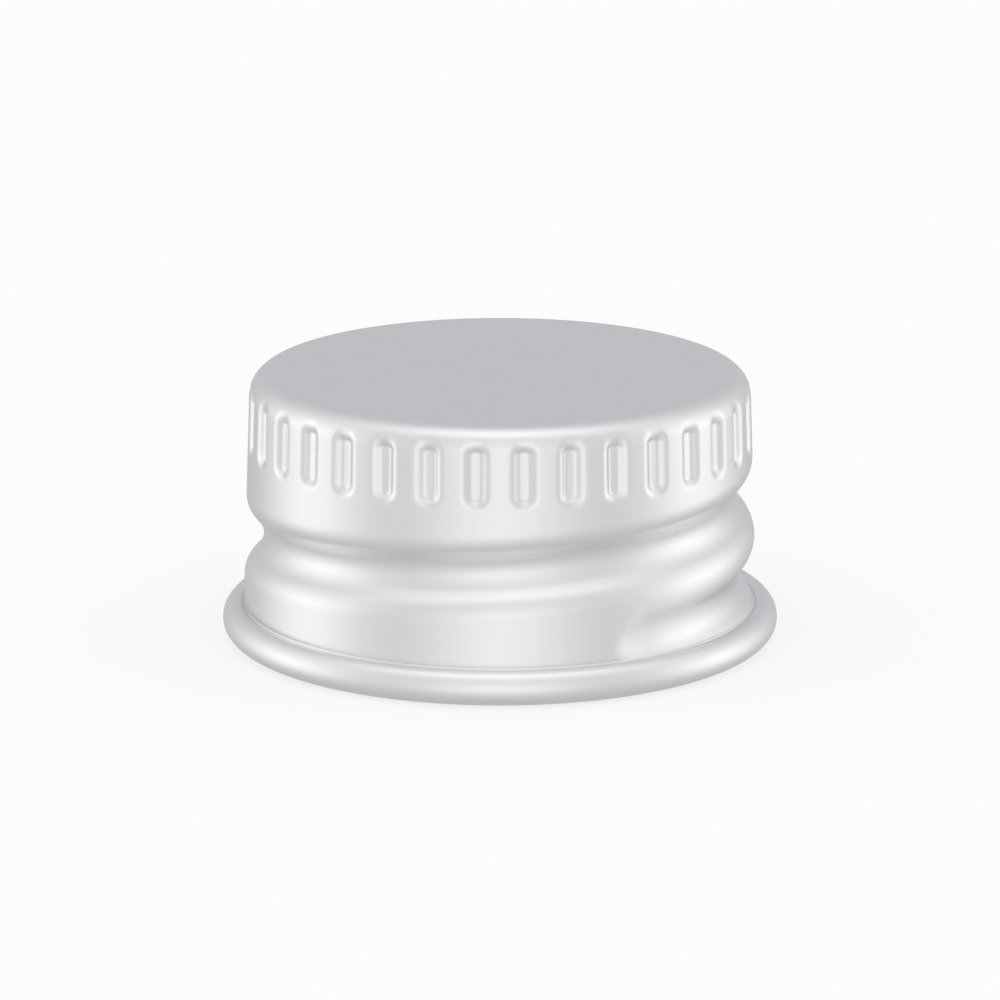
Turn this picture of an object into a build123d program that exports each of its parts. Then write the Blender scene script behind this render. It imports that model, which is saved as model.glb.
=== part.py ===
from build123d import *
import os
from math import atan2, cos, degrees, radians, sin, tan

# A screw cap pressed from one aluminium sheet: flat top, knurled skirt, rolled thread and curled edge,
# with a soft liner under the top. It stands on its curl, mouth down, with the photograph's side at -Y.

# Sheet and main form
sheet = 0.25
cap_height = 15.29
top_radius = 14.08
skirt_draft = 2.0
shoulder_radius = 1.4
overrun = 1.0

# Curled edge: the sheet turns outwards at the foot, rolls up and tucks in towards the skirt
curl_radius = 1.04
curl_bend = 0.11
curl_wall = 0.3
curl_tuck_radius = 0.475
curl_tuck_start = 62
curl_tuck_end = 143
curl_hollow_angles = (50, 0, -50)

# Knurl: shallow long pockets pressed into the skirt below the shoulder
knurl_count = 34
knurl_length = 3.5
knurl_width = 1.25
knurl_depth = 0.3
knurl_slope = 40
knurl_drop = 2.7

# Rolled thread: a groove outside and a ridge inside, which starts with a shallow end and runs out at the top
thread_pitch = 4.6
thread_depth = 1.033
thread_root_radius = 1.51
thread_lip_radius = 1.56
thread_upper_flank = 41
thread_lower_flank = 48
thread_lip_blend = 8
thread_lip_run = 0.45
thread_ridge_ease = 12
thread_start_height = 2.76
thread_start_angle = -64
thread_start_share = 0.15
thread_run_in = 55
thread_full_turn = 365
thread_run_out = 115

# Liner: a foam disc that lies under the top, inside the knurl
liner_thickness = 1.2
liner_clearance = 0.25
liner_edge = 0.65

foot_height = sheet + curl_bend + curl_wall
draft_share = tan(radians(skirt_draft))
knurl_middle = cap_height - knurl_drop


def skirt_radius(height):
    """Outside radius of the plain skirt at a height above the foot."""
    return top_radius + (cap_height - height) * draft_share


def cap_profile(inset, low, high):
    """Half section of the cap's outside, moved inwards by inset, with its shoulder rounded."""
    with BuildSketch(Plane.XZ) as profile:
        with BuildLine():
            Polyline(
                (0, low),
                (skirt_radius(low) - inset, low),
                (skirt_radius(high) - inset, high),
                (0, high),
                close=True,
            )
        make_face()
        shoulder = profile.vertices().group_by(Axis.Y)[-1].sort_by(Axis.X)[-1]
        fillet(shoulder, shoulder_radius - inset)
    return profile.sketch


def groove_section():
    """Section of the thread outside: a round root, straight flanks and soft lips that meet the skirt."""
    root = thread_path_start + Vector(thread_root_radius, 0)
    reach = root.X + thread_depth + overrun
    radii = thread_root_radius + thread_lip_radius
    ends = []
    with BuildSketch(Plane.XZ) as section:
        with BuildLine():
            CenterArc(
                (root.X, root.Z),
                thread_root_radius,
                180 - thread_upper_flank,
                thread_upper_flank + thread_lower_flank,
            )
            for side, flank in ((1, thread_upper_flank), (-1, thread_lower_flank)):
                sine_share = sin(radians(flank))
                cosine_share = cos(radians(flank))
                arcs_rise = radii * (1 - cosine_share + side * sine_share * draft_share)
                flank_run = (thread_depth - arcs_rise) / (sine_share + side * cosine_share * draft_share)
                outwards = Vector(cosine_share, -side * sine_share)
                flank_foot = Vector(root.X, root.Z) - outwards * thread_root_radius
                straight = PolarLine(flank_foot, flank_run, side * (90 - flank))
                lip = CenterArc(
                    (straight @ 1) - outwards * thread_lip_radius,
                    thread_lip_radius,
                    -side * flank,
                    side * (flank - thread_lip_blend),
                )
                run = PolarLine(lip @ 1, thread_lip_run, side * (90 - thread_lip_blend))
                ends.append(run @ 1)
            upper, lower = ends
            Polyline(upper, (reach, upper.Y), (reach, lower.Y), lower)
        make_face()
    return section.sketch


def ridge_section():
    """Section of the thread inside: a narrow crest one sheet below the root, and straight flanks."""
    crest = thread_path_start.X - sheet
    reach = crest + thread_depth + overrun
    corners = []
    for side, flank in ((1, thread_upper_flank), (-1, thread_lower_flank)):
        slope = radians(flank - thread_ridge_ease)
        half_crest = (thread_root_radius + sheet) * tan(slope / 2)
        half_foot = half_crest + (reach - crest) / tan(slope)
        inner = (crest, thread_path_start.Z + side * half_crest)
        outer = (reach, thread_path_start.Z + side * half_foot)
        corners += [inner, outer][::side]
    with BuildSketch(Plane.XZ) as section:
        with BuildLine():
            Polyline(*corners, close=True)
        make_face()
    return section.sketch


def thread_path_radius(height):
    """Radius of the groove's root at a height, at full depth."""
    return skirt_radius(height) - thread_depth


def thread_run(angle_from, angle_to, lift_from, lift_to):
    """One stretch of the thread's path between two angles from its start, lifted outwards at its ends."""
    low = thread_start_height + thread_pitch * angle_from / 360
    high = thread_start_height + thread_pitch * angle_to / 360
    start = thread_path_radius(low) + lift_from
    end = thread_path_radius(high) + lift_to
    cone = degrees(atan2(end - start, high - low))
    stretch = Helix(
        thread_pitch / cos(radians(cone)),
        high - low,
        start,
        center=(0, 0, low),
        cone_angle=cone,
        mode=Mode.PRIVATE,
    )
    return stretch.rotate(Axis.Z, angle_from)


def knurl_tool(grow):
    """Long pocket at +X with four sloped walls, grown by grow to make the back of the sheet."""
    run_share = 1 / tan(radians(knurl_slope))
    spread = grow * tan(radians(knurl_slope / 2)) + overrun * run_share
    width = knurl_width + 2 * spread
    length = knurl_length + 2 * spread
    reach = overrun + knurl_depth
    inset = reach * run_share
    mouth = skirt_radius(knurl_middle) - grow + overrun
    with BuildPart(Plane((mouth, 0, knurl_middle), x_dir=(0, 1, 0), z_dir=(0, 0, 1))) as tool:
        Wedge(
            width,
            reach,
            length,
            inset,
            inset,
            width - inset,
            length - inset,
            align=(Align.CENTER, Align.MIN, Align.CENTER),
        )
    return tool.part


thread_start_lift = thread_depth * (1 - thread_start_share)
thread_end_lift = thread_depth + sheet
full_from = thread_run_in
full_to = thread_run_in + thread_full_turn
thread_end = full_to + thread_run_out
with BuildLine() as thread_path:
    add(thread_run(0, full_from, thread_start_lift, 0))
    add(thread_run(full_from, full_to, 0, 0))
    add(thread_run(full_to, thread_end, 0, thread_end_lift))
thread_path_start = thread_path.line @ 0

outer_section = groove_section()
with BuildPart() as thread_groove:
    sweep(outer_section, thread_path.line, is_frenet=True)

inner_section = ridge_section()
with BuildPart() as thread_ridge:
    sweep(inner_section, thread_path.line, is_frenet=True)

knurl_pocket = knurl_tool(0)
knurl_boss = knurl_tool(sheet)

# The inside of the sheet, less the thread's ridge and the backs of the knurl pockets
first_knurl = -90 + 180 / knurl_count
inside_profile = cap_profile(sheet, foot_height - overrun, cap_height - sheet)
with BuildPart() as cavity:
    revolve(inside_profile, axis=Axis.Z)
    add(thread_ridge.part, rotation=(0, 0, thread_start_angle), mode=Mode.SUBTRACT)
    with PolarLocations(0, knurl_count, start_angle=first_knurl):
        add(knurl_boss, mode=Mode.SUBTRACT)

# The shell: the pressed form, hollowed, and the curl rolled from its foot
outside_profile = cap_profile(0, foot_height, cap_height)
with BuildPart() as cap_shell:
    revolve(outside_profile, axis=Axis.Z)
    add(thread_groove.part, rotation=(0, 0, thread_start_angle), mode=Mode.SUBTRACT)
    with PolarLocations(0, knurl_count, start_angle=first_knurl):
        add(knurl_pocket, mode=Mode.SUBTRACT)
    add(cavity.part, mode=Mode.SUBTRACT)

    wall = skirt_radius(foot_height)
    bend_radius = sheet + curl_bend
    roll_centre = Vector(wall + curl_bend, curl_radius)
    tuck_centre = roll_centre + Vector(curl_radius - curl_tuck_radius, 0).rotate(Axis.Z, curl_tuck_start)
    tuck_edge = tuck_centre + Vector(curl_tuck_radius - sheet, 0).rotate(Axis.Z, curl_tuck_end)
    hollow_reach = Vector(curl_radius - sheet, 0)
    hollow = [roll_centre + hollow_reach.rotate(Axis.Z, angle) for angle in curl_hollow_angles]
    with BuildSketch(Plane.XZ):
        with BuildLine():
            inner_wall = Line((wall - sheet, foot_height), (wall - sheet, bend_radius))
            CenterArc((roll_centre.X, bend_radius), bend_radius, 180, 90)
            CenterArc(roll_centre, curl_radius, -90, 90 + curl_tuck_start)
            tuck = CenterArc(tuck_centre, curl_tuck_radius, curl_tuck_start, curl_tuck_end - curl_tuck_start)
            Polyline(tuck @ 1, tuck_edge, *hollow, (wall, sheet), (wall, foot_height), inner_wall @ 0)
        make_face()
    revolve(axis=Axis.Z)

liner_radius = skirt_radius(knurl_middle) - sheet - knurl_depth - liner_clearance
with BuildPart() as sealing_liner:
    with BuildSketch(Plane.XY.offset(cap_height - sheet)):
        Circle(liner_radius)
    extrude(amount=-liner_thickness)
    chamfer(edges().group_by(Axis.Z)[-1], liner_edge)

os.makedirs("parts", exist_ok=True)
cap_shell.part.label = "cap_shell"
export_step(cap_shell.part, "parts/cap_shell.step")
sealing_liner.part.label = "sealing_liner"
export_step(sealing_liner.part, "parts/sealing_liner.step")
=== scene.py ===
import math

import bmesh
import bpy
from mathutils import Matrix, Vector


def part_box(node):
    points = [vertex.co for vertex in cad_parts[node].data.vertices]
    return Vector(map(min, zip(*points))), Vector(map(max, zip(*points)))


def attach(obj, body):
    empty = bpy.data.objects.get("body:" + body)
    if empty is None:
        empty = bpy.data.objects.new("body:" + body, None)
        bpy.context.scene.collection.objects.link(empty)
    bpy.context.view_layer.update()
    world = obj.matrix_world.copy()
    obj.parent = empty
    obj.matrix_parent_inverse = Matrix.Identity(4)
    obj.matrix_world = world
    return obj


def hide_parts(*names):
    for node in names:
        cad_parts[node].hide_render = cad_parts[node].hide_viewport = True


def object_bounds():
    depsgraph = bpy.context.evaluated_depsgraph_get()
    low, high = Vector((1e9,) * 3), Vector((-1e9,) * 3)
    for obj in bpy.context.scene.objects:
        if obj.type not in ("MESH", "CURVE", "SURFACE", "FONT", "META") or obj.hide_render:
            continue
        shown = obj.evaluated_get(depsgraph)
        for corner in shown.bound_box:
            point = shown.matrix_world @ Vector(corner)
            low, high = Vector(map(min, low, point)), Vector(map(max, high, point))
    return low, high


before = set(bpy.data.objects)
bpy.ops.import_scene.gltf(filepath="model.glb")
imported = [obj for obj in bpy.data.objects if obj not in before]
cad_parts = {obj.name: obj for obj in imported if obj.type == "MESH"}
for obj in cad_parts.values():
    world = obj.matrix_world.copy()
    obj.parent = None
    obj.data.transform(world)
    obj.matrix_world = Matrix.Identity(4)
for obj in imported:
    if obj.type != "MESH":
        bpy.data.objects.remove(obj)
cad_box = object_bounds()

# A satin aluminium screw cap that stands on its curled edge, mouth down. Lengths are in metres and
# angles in radians. Angles round the cap are counted from +X towards +Y, so that the photograph's
# side is at -90 degrees.

# Pressed sheet
CAP_HEIGHT = cad_box[1].z
SHEET = 0.00025
TOP_RADIUS = 0.01408
SKIRT_TAPER = math.tan(math.radians(2))
SHOULDER_RADIUS = 0.0014

# Curled edge: a tight bend at the foot, a round roll and an end tucked in to the skirt, which flares a
# little there. Beside the thread the end moves in by more than the groove's depth, so that it stays closed.
FOOT_HEIGHT = 0.00066
BEND_RADIUS = 0.00011
ROLL_RADIUS = 0.00079
ROLL_END = math.radians(62)
TUCK_RADIUS = 0.000225
TUCK_END = math.radians(152)
TUCK_CLOSING = 1.4
FLARE_HEIGHT = 0.0019
FLARE_RADIUS = 0.00012

# Knurl pockets: a flat floor with rounded corners and sloped walls, whose inner and outer edges are rounded
# within a blend. Columns of the mesh crowd together at the pockets' walls.
KNURL_COUNT = 34
KNURL_DEPTH = 0.0003
KNURL_SLOPE = math.tan(math.radians(40))
KNURL_FLOOR_HALF_WIDTH = 0.00029
KNURL_FLOOR_TOP = 0.00136
KNURL_FLOOR_FOOT = 0.00403
KNURL_TOP_CORNER = 0.00017
KNURL_FOOT_CORNER = 0.00028
KNURL_FLOOR_BLEND = 0.00004
KNURL_FOOT_BLEND = 0.0001
KNURL_RIM_BLEND = 0.0002
KNURL_TOP_RIM_BLEND = 0.00042
KNURL_RIM = 0.0007
KNURL_CROWDING = 0.4

# Rows of the mesh along the pockets, for so many rows round the shoulder
SHOULDER_ROWS = 24
KNURL_HEAD_ROWS = 5
KNURL_FLOOR_ROWS = 6
KNURL_FOOT_ROWS = 18

# Rolled thread: it plunges in at a narrow tip, runs in to its full depth and runs out at the top
THREAD_PITCH = 0.0046
THREAD_DEPTH = 0.001033
THREAD_ROOT = 0.00151
THREAD_LIP = 0.00156
THREAD_UPPER_FLANK = math.radians(41)
THREAD_LOWER_FLANK = math.radians(48)
THREAD_START_HEIGHT = 0.00276
THREAD_START = math.radians(-64)
THREAD_PLUNGE = 0.25
THREAD_PLUNGE_RUN = math.radians(9)
THREAD_TIP_UPPER_POWER = 0.8
THREAD_TIP_LOWER_POWER = 0.3
THREAD_RUN_IN = math.radians(62)
THREAD_RUN_OUT = math.radians(115)
THREAD_LENGTH = math.radians(535)

# Foam liner
LINER_THICKNESS = 0.0012
LINER_EDGE = 0.00035

# Materials: how fine their noise is, and the height of the metal's grain and the foam's pits
GRAIN_SCALE = 4500
GRAIN_HEIGHT = 0.000003
CLOUD_SCALE = 300
CELL_SCALE = 3500
CELL_HEIGHT = 0.00004

# Stage
FLOOR_RADIUS = 2
LAMP_SIZE = 0.6
LAMP_POWER = 0.1
LAMP_PLACE = (0, -0.1, 0.6)

# Camera, fitted to the photograph
CAMERA_DISTANCE = 0.3167
CAMERA_ELEVATION = math.radians(14.7)
CAMERA_AIM_HEIGHT = 0.00766
CAMERA_LENS = 201.4
CAMERA_CLIP_START = 0.01


def skirt_radius(height):
    """Outside radius of the plain skirt at a height."""
    return TOP_RADIUS + (CAP_HEIGHT - height) * SKIRT_TAPER


def soft_positive(value, blend):
    """The value where it is positive and 0 where it is negative, rounded within a blend of 0."""
    if abs(value) >= blend:
        return max(value, 0)
    return (value + blend) ** 2 / (4 * blend)


def thread_section(offset):
    """Depth of the full groove at a height above its middle: round root, straight flanks and round lips."""
    flank = THREAD_UPPER_FLANK if offset > 0 else THREAD_LOWER_FLANK
    across = abs(offset)
    root_end = THREAD_ROOT * math.sin(flank)
    rounds_rise = (THREAD_ROOT + THREAD_LIP) * (1 - math.cos(flank))
    flank_end = root_end + (THREAD_DEPTH - rounds_rise) / math.tan(flank)
    lip_left = flank_end + THREAD_LIP * math.sin(flank) - across
    if lip_left <= 0:
        return 0
    if across < root_end:
        return THREAD_DEPTH - THREAD_ROOT + math.sqrt(THREAD_ROOT**2 - across**2)
    if across < flank_end:
        return THREAD_LIP * (1 - math.cos(flank)) + (flank_end - across) * math.tan(flank)
    return THREAD_LIP - math.sqrt(THREAD_LIP**2 - lip_left**2)


def thread_depth(angle, height):
    """Depth of the rolled groove at a point of the skirt."""
    deepest = 0
    first_turn = (angle - THREAD_START) % math.tau
    for turned in (first_turn, first_turn + math.tau):
        plunge = 1 - (1 - min(turned / THREAD_PLUNGE_RUN, 1)) ** 2
        run_in = THREAD_PLUNGE * plunge + (1 - THREAD_PLUNGE) * turned / THREAD_RUN_IN
        share = min(run_in, (THREAD_LENGTH - turned) / THREAD_RUN_OUT, 1)
        if share <= 0:
            continue
        above = height - THREAD_START_HEIGHT - THREAD_PITCH * turned / math.tau
        width_share = plunge**THREAD_TIP_UPPER_POWER if above > 0 else share**THREAD_TIP_LOWER_POWER
        deepest = max(deepest, thread_section(above / width_share) * share)
    return deepest


def knurl_depth(angle, height):
    """Depth of the nearest knurl pocket at a point of the skirt or the shoulder."""
    pitch = math.tau / KNURL_COUNT
    from_middle = (angle + math.pi / 2) % pitch - pitch / 2
    below_top = CAP_HEIGHT - height
    above_floor = KNURL_FLOOR_TOP - below_top
    below_floor = below_top - KNURL_FLOOR_FOOT
    in_head = above_floor > below_floor
    corner = KNURL_TOP_CORNER if in_head else KNURL_FOOT_CORNER
    aside = max(abs(from_middle) * TOP_RADIUS - KNURL_FLOOR_HALF_WIDTH + corner, 0)
    beyond = max(above_floor + corner, below_floor + corner, 0)
    outside = math.hypot(aside, beyond)
    end_share = (beyond / outside) ** 2 if outside else 0
    floor_blend, rim_blend = KNURL_FLOOR_BLEND, KNURL_RIM_BLEND
    if in_head:
        rim_blend += (KNURL_TOP_RIM_BLEND - KNURL_RIM_BLEND) * end_share
    else:
        floor_blend += (KNURL_FOOT_BLEND - KNURL_FLOOR_BLEND) * end_share
    wall = soft_positive((outside - corner) * KNURL_SLOPE, floor_blend)
    return soft_positive(KNURL_DEPTH - wall, rim_blend)


def flare(height):
    """How far the skirt turns outwards where the tucked-in end of the curl meets it."""
    above = height - FLARE_HEIGHT
    if above > FLARE_RADIUS:
        return 0
    if above < 0:
        return max(FLARE_RADIUS / 2 + above, 0)
    return (FLARE_RADIUS - above) ** 2 / (2 * FLARE_RADIUS)


def line_to(mesh, vert, radius, height, rows):
    """Draws a straight stretch of the section from a vertex, in even rows."""
    start, end = vert.co.copy(), Vector((radius, 0, height))
    for row in range(rows):
        made = bmesh.ops.extrude_vert_indiv(mesh, verts=[vert])
        vert = made["verts"][0]
        vert.co = start.lerp(end, (row + 1) / rows)
    return vert


def arc_about(mesh, vert, radius, height, angle, steps):
    """Draws a round stretch of the section about a centre, anticlockwise with +X right and +Z up."""
    made = bmesh.ops.spin(
        mesh,
        geom=[vert],
        cent=(radius, 0, height),
        axis=(0, -1, 0),
        angle=angle,
        steps=steps,
    )
    return next(item for item in made["geom_last"] if isinstance(item, bmesh.types.BMVert))


def pressed_skin(columns, knurl_cuts, knurl_rows, thread_rows, curl_steps):
    """The sheet's outer face from the top's middle down into the curl, with thread and knurl."""
    skin = bmesh.new()
    draft = math.atan(SKIRT_TAPER)
    shoulder_height = CAP_HEIGHT - SHOULDER_RADIUS
    shoulder_middle = skirt_radius(shoulder_height) - SHOULDER_RADIUS / math.cos(draft)
    vert = skin.verts.new((0, 0, CAP_HEIGHT))
    vert = line_to(skin, vert, shoulder_middle, CAP_HEIGHT, 3)
    vert = arc_about(skin, vert, shoulder_middle, shoulder_height, draft - math.pi / 2, knurl_rows)
    knurl_foot = CAP_HEIGHT - KNURL_FLOOR_FOOT - KNURL_RIM
    stretches = (
        (CAP_HEIGHT - (KNURL_FLOOR_TOP + KNURL_RIM_BLEND), KNURL_HEAD_ROWS),
        (CAP_HEIGHT - (KNURL_FLOOR_FOOT - KNURL_RIM_BLEND), KNURL_FLOOR_ROWS),
        (knurl_foot, KNURL_FOOT_ROWS),
    )
    for height, rows in stretches:
        vert = line_to(skin, vert, skirt_radius(height), height, knurl_rows * rows // SHOULDER_ROWS)
    flare_top = FLARE_HEIGHT + FLARE_RADIUS
    vert = line_to(skin, vert, skirt_radius(flare_top), flare_top, thread_rows)
    vert = line_to(skin, vert, skirt_radius(FLARE_HEIGHT), FLARE_HEIGHT, curl_steps // 3)
    vert = line_to(skin, vert, skirt_radius(FOOT_HEIGHT), FOOT_HEIGHT, curl_steps // 3)
    wall = skirt_radius(FOOT_HEIGHT)
    bend_height = SHEET + BEND_RADIUS
    vert = line_to(skin, vert, wall, bend_height, 1)
    vert = arc_about(skin, vert, wall + BEND_RADIUS, bend_height, math.pi / 2, curl_steps // 3)
    roll_height = SHEET + ROLL_RADIUS
    vert = arc_about(skin, vert, wall + BEND_RADIUS, roll_height, math.pi / 2 + ROLL_END, curl_steps)
    tuck_middle = wall + BEND_RADIUS + (ROLL_RADIUS - TUCK_RADIUS) * math.cos(ROLL_END)
    tuck_height = roll_height + (ROLL_RADIUS - TUCK_RADIUS) * math.sin(ROLL_END)
    tuck_reach = -TUCK_RADIUS * math.cos(TUCK_END)
    arc_about(skin, vert, tuck_middle, tuck_height, TUCK_END - ROLL_END, curl_steps // 3)
    bmesh.ops.spin(
        skin,
        geom=skin.verts[:] + skin.edges[:],
        cent=(0, 0, 0),
        axis=(0, 0, 1),
        angle=math.tau,
        steps=columns,
        use_merge=True,
    )
    bmesh.ops.remove_doubles(skin, verts=skin.verts[:], dist=BEND_RADIUS / 100)
    knurl_rings = [
        edge
        for edge in skin.edges
        if abs(edge.verts[0].co.z - edge.verts[1].co.z) < SHEET / 1000
        and edge.verts[0].co.z > knurl_foot
        and math.hypot(*edge.verts[0].co.xy) > shoulder_middle + SHEET / 10
    ]
    if knurl_cuts:
        bmesh.ops.subdivide_edges(skin, edges=knurl_rings, cuts=knurl_cuts)
    pitch = math.tau / KNURL_COUNT
    for vert in skin.verts:
        radius, height = math.hypot(vert.co.x, vert.co.y), vert.co.z
        column = (math.atan2(vert.co.y, vert.co.x) + math.pi / 2) / pitch
        crowded = column + KNURL_CROWDING * math.sin(2 * math.tau * column) / (2 * math.tau)
        angle = crowded * pitch - math.pi / 2
        recess = skirt_radius(height) - radius
        if recess > -BEND_RADIUS / 2 and height > bend_height:
            radius -= thread_depth(angle, height) + knurl_depth(angle, height) - flare(height)
        elif height > tuck_height and radius < tuck_middle:
            closing = TUCK_CLOSING * (tuck_middle - radius) / tuck_reach
            radius -= closing * thread_depth(angle, height + SHEET / 2)
        vert.co = Vector((radius * math.cos(angle), radius * math.sin(angle), height))
    bmesh.ops.recalc_face_normals(skin, faces=skin.faces[:])
    top_face = max(skin.faces, key=lambda face: face.calc_center_median().z)
    if top_face.normal.z < 0:
        bmesh.ops.reverse_faces(skin, faces=skin.faces[:])
    skin.normal_update()
    return skin


def make_piece(name, mesh, material, node):
    """Turns a mesh into a smooth piece of the cap that stands for a CAD node."""
    data = bpy.data.meshes.new(name)
    mesh.to_mesh(data)
    mesh.free()
    data.shade_smooth()
    data.materials.append(material)
    piece = bpy.data.objects.new(name, data)
    bpy.context.scene.collection.objects.link(piece)
    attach(piece, "root")
    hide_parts(node)
    return piece


def pressed_shell(material):
    """The sheet: a fine outer skin and a coarser inner one behind it, joined at the raw edge."""
    shell = pressed_skin(
        columns=KNURL_COUNT * 8,
        knurl_cuts=2,
        knurl_rows=SHOULDER_ROWS,
        thread_rows=60,
        curl_steps=18,
    )
    inside = pressed_skin(
        columns=KNURL_COUNT * 6,
        knurl_cuts=0,
        knurl_rows=SHOULDER_ROWS // 3,
        thread_rows=40,
        curl_steps=27,
    )
    for vert in inside.verts:
        vert.co -= vert.normal * SHEET
    bmesh.ops.reverse_faces(inside, faces=inside.faces[:])
    inner_data = bpy.data.meshes.new("inner_skin")
    inside.to_mesh(inner_data)
    inside.free()
    shell.from_mesh(inner_data)
    bpy.data.meshes.remove(inner_data)
    raw_edges = [edge for edge in shell.edges if edge.is_boundary]
    bmesh.ops.bridge_loops(shell, edges=raw_edges)
    return make_piece("pressed_shell", shell, material, "cap_shell")


def foam_liner(material):
    """The soft disc under the top, with rounded edges."""
    low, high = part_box("sealing_liner")
    liner = bmesh.new()
    bmesh.ops.create_circle(liner, cap_ends=True, segments=KNURL_COUNT * 4, radius=high[0])
    made = bmesh.ops.extrude_face_region(liner, geom=liner.faces[:])
    raised = [item for item in made["geom"] if isinstance(item, bmesh.types.BMVert)]
    bmesh.ops.translate(liner, verts=raised, vec=(0, 0, LINER_THICKNESS))
    bmesh.ops.translate(liner, verts=liner.verts[:], vec=(0, 0, low[2]))
    rims = [edge for edge in liner.edges if abs(edge.verts[0].co.z - edge.verts[1].co.z) < LINER_EDGE]
    bmesh.ops.bevel(
        liner,
        geom=rims,
        offset=LINER_EDGE,
        affect="EDGES",
        segments=4,
        profile=0.5,
        material=-1,
    )
    bmesh.ops.recalc_face_normals(liner, faces=liner.faces[:])
    return make_piece("foam_liner", liner, material, "sealing_liner")


class Wire:
    """A value on a shader socket. Arithmetic on it adds Math nodes."""

    def __init__(self, shader, socket):
        self.shader = shader
        self.socket = socket

    def math(self, operation, *values):
        return self.shader.add("ShaderNodeMath", {"operation": operation}, dict(enumerate(values)))

    def __add__(self, other):
        return self.math("ADD", self, other)

    def __sub__(self, other):
        return self.math("SUBTRACT", self, other)

    def __rsub__(self, other):
        return self.math("SUBTRACT", other, self)

    def __mul__(self, other):
        return self.math("MULTIPLY", self, other)

    __radd__ = __add__
    __rmul__ = __mul__


class Shader:
    """The node tree of a material or of the world, cleared and ready to fill."""

    def __init__(self, owner):
        owner.use_nodes = True
        self.tree = owner.node_tree
        self.tree.nodes.clear()

    def add(self, kind, settings=None, sockets=None, output=0):
        """Adds a node, sets it, fills or links its sockets and returns one of its outputs, if any."""
        node = self.tree.nodes.new(kind)
        for name, value in (settings or {}).items():
            setattr(node, name, value)
        for name, value in (sockets or {}).items():
            if isinstance(value, Wire):
                self.tree.links.new(value.socket, node.inputs[name])
            else:
                node.inputs[name].default_value = value
        return Wire(self, node.outputs[output]) if node.outputs else None


def satin_aluminium():
    """Bright rolled sheet with a fine grain and a faint unevenness in its sheen."""
    material = bpy.data.materials.new("satin_aluminium")
    shader = Shader(material)
    place = shader.add("ShaderNodeTexCoord", output="Object")
    grain = shader.add("ShaderNodeTexNoise", sockets={"Vector": place, "Scale": GRAIN_SCALE, "Detail": 2})
    cloud = shader.add("ShaderNodeTexNoise", sockets={"Vector": place, "Scale": CLOUD_SCALE, "Detail": 3})
    relief = shader.add(
        "ShaderNodeBump", sockets={"Strength": 1, "Distance": GRAIN_HEIGHT, "Height": grain}
    )
    metal = shader.add(
        "ShaderNodeBsdfPrincipled",
        sockets={
            "Base Color": (0.786, 0.797, 0.797, 1),
            "Metallic": 1,
            "Roughness": 0.25 + 0.04 * cloud,
            "Normal": relief,
        },
    )
    shader.add("ShaderNodeOutputMaterial", sockets={"Surface": metal})
    return material


def white_foam():
    """Matte closed-cell foam with fine pits, its colour darkened towards the pits' bottoms as painted
    shade.
    """
    material = bpy.data.materials.new("white_foam")
    shader = Shader(material)
    place = shader.add("ShaderNodeTexCoord", output="Object")
    cells = shader.add("ShaderNodeTexVoronoi", sockets={"Vector": place, "Scale": CELL_SCALE})
    relief = shader.add(
        "ShaderNodeBump", sockets={"Strength": 0.6, "Distance": CELL_HEIGHT, "Height": cells}
    )
    # Painted shade: the colour follows the pits' depth and is darker where the pits are deepest.
    painted_pit_shade = shader.add(
        "ShaderNodeMix",
        {"data_type": "RGBA"},
        {"Factor": cells, "A": (0.86, 0.86, 0.84, 1), "B": (0.93, 0.93, 0.91, 1)},
        output=2,
    )
    foam = shader.add(
        "ShaderNodeBsdfPrincipled",
        sockets={"Base Color": painted_pit_shade, "Roughness": 0.75, "Normal": relief},
    )
    shader.add("ShaderNodeOutputMaterial", sockets={"Surface": foam})
    return material


def pale_floor():
    """A white floor that keeps the cap's soft shadow. The metal looks past it into the tent."""
    material = bpy.data.materials.new("pale_floor")
    shader = Shader(material)
    seen = shader.add("ShaderNodeLightPath", output="Is Camera Ray")
    paper = shader.add("ShaderNodeBsdfDiffuse", sockets={"Color": (0.9, 0.9, 0.9, 1)})
    white = shader.add("ShaderNodeEmission", sockets={"Color": (1, 1, 1, 1), "Strength": 1.05})
    blend = shader.add("ShaderNodeMixShader", sockets={0: seen * 0.65, 1: paper, 2: white})
    shader.add("ShaderNodeOutputMaterial", sockets={"Surface": blend})
    mesh = bmesh.new()
    bmesh.ops.create_circle(mesh, cap_ends=True, segments=64, radius=FLOOR_RADIUS)
    data = bpy.data.meshes.new("floor")
    mesh.to_mesh(data)
    mesh.free()
    data.materials.append(material)
    floor = bpy.data.objects.new("floor", data)
    floor.visible_glossy = False
    bpy.context.scene.collection.objects.link(floor)


def towards(azimuth, elevation):
    """Unit direction at degrees to the right of the photograph's side and degrees above the floor."""
    azimuth, elevation = math.radians(azimuth), math.radians(elevation)
    flat = math.cos(elevation)
    return (math.sin(azimuth) * flat, -math.cos(azimuth) * flat, math.sin(elevation))


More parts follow.
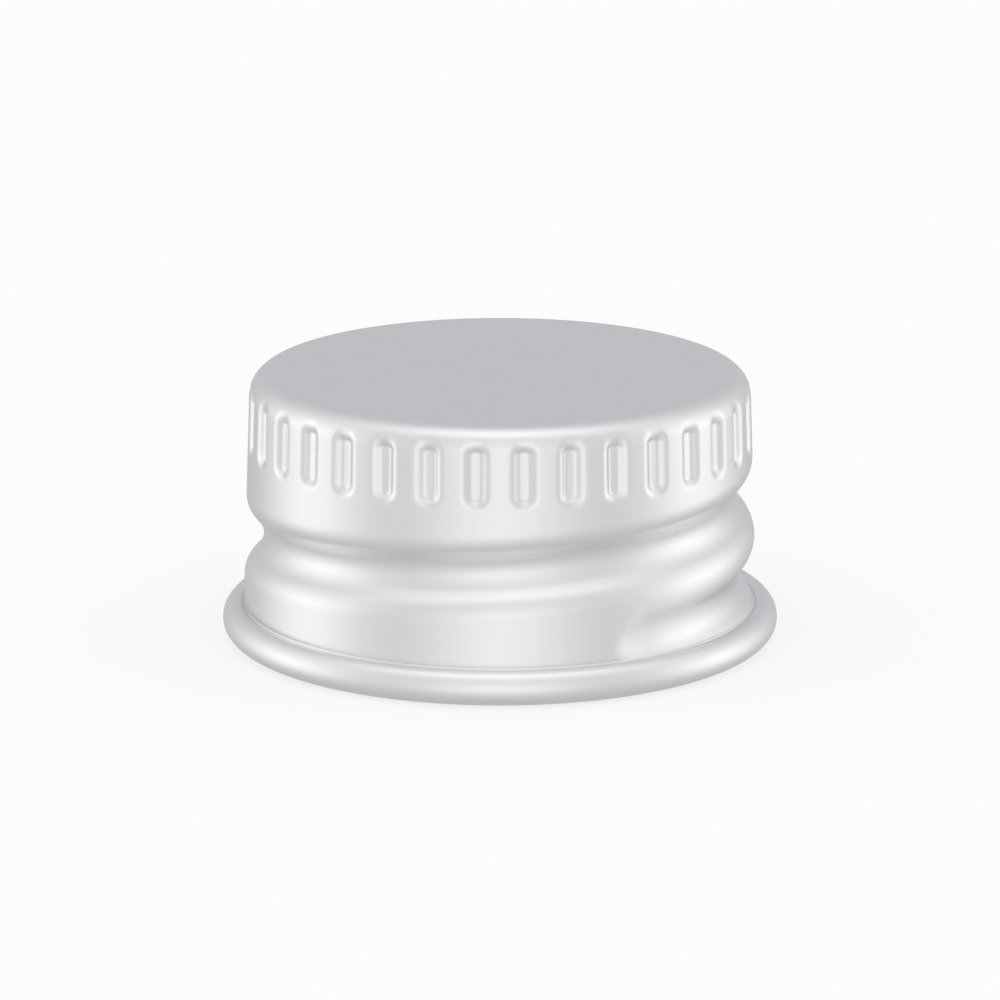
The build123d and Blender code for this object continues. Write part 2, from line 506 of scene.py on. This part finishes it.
def light_tent():
    """The studio: a grey tent with soft white lights at the sides, in front and above, and a lilac edge.

    Each light is a direction, a strength and a focus: the higher its focus, the smaller it is.
    """
    white_lights = (
        (towards(-95, -3), 0.56, 7),
        (towards(100, -3), 0.56, 7),
        (towards(0, -1), 0.525, 4.7),
        (towards(0, -50), 0.1, 3),
        (towards(0, 50), 0.21, 7.8),
        (towards(0, 78), 0.27, 20),
        (towards(-70, 71), 0.33, 14.5),
        (towards(70, 71), 0.33, 14.5),
        (towards(-98, 27), 0.29, 3.9),
        (towards(98, 27), 0.29, 3.9),
    )
    lilac_lights = ((towards(180, 76), 0.2, 50), (towards(180, 15), 0.02, 4))
    world = bpy.data.worlds.new("light_tent")
    bpy.context.scene.world = world
    shader = Shader(world)
    direction = shader.add("ShaderNodeTexCoord", output="Generated")
    studio = shader.add(
        "ShaderNodeBackground", sockets={"Color": (0.573, 0.574, 0.584, 1), "Strength": 1}
    )
    for colour, lights in (((1.01, 1, 0.995, 1), white_lights), ((0.15, 0.1, 1, 1), lilac_lights)):
        glow = 0
        for middle, strength, focus in lights:
            facing = shader.add(
                "ShaderNodeVectorMath",
                {"operation": "DOT_PRODUCT"},
                {0: direction, 1: middle},
                output="Value",
            )
            lobe = (facing - 1) * focus
            glow = glow + strength * lobe.math("EXPONENT", lobe)
        shine = shader.add("ShaderNodeBackground", sockets={"Color": colour, "Strength": glow})
        studio = shader.add("ShaderNodeAddShader", sockets={0: studio, 1: shine})
    white = shader.add("ShaderNodeBackground", sockets={"Color": (1, 1, 1, 1), "Strength": 1})
    seen = shader.add("ShaderNodeLightPath", output="Is Camera Ray")
    sky = shader.add("ShaderNodeMixShader", sockets={0: seen, 1: studio, 2: white})
    shader.add("ShaderNodeOutputWorld", sockets={"Surface": sky})


def overhead_lamp():
    """A wide lamp above that brings matte surfaces to their own colour and lays the floor's shadow."""
    lamp = bpy.data.lights.new("overhead", "AREA")
    lamp.shape = "DISK"
    lamp.size = LAMP_SIZE
    lamp.energy = LAMP_POWER
    light = bpy.data.objects.new("overhead", lamp)
    light.location = LAMP_PLACE
    light.rotation_euler = (-Vector(LAMP_PLACE)).to_track_quat("-Z", "Y").to_euler()
    light.visible_glossy = False
    bpy.context.scene.collection.objects.link(light)


def photo_camera():
    """The camera where the photograph was taken from."""
    data = bpy.data.cameras.new("photo_camera")
    data.lens = CAMERA_LENS
    data.clip_start = CAMERA_CLIP_START
    camera = bpy.data.objects.new("photo_camera", data)
    aim = Vector((0, 0, CAMERA_AIM_HEIGHT))
    back = Vector((0, -math.cos(CAMERA_ELEVATION), math.sin(CAMERA_ELEVATION)))
    camera.location = aim + back * CAMERA_DISTANCE
    camera.rotation_euler = (-back).to_track_quat("-Z", "Y").to_euler()
    bpy.context.scene.collection.objects.link(camera)
    bpy.context.scene.camera = camera


pressed_shell(satin_aluminium())
foam_liner(white_foam())
pale_floor()
light_tent()
overhead_lamp()
photo_camera()
bpy.context.scene.view_settings.view_transform = "Standard"
